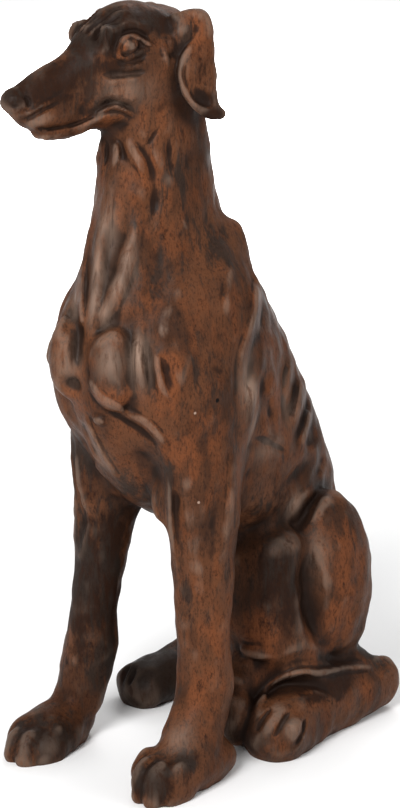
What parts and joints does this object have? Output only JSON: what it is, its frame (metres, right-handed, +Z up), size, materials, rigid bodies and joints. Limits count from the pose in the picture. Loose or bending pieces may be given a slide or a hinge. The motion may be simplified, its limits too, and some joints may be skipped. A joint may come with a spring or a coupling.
{
  "type": "sitting dog sculpture",
  "caption": "Life-size sitting greyhound, cast in one piece, head turned to its right, standing on its paws, hocks and rump.",
  "frame": {"origin": "on the ground at the centre of the bounding box's underside", "axes": "+Z up, -Y the way the dog faces, +X its left"},
  "size_m": [0.2772, 0.4882, 0.7788],
  "materials": {
    "brown_patina": "cast resin, rubbed rust-brown and black antique patina with a low sheen"
  },
  "bodies": {
    "root": {"dog": "brown_patina"}
  },
  "joints": []
}
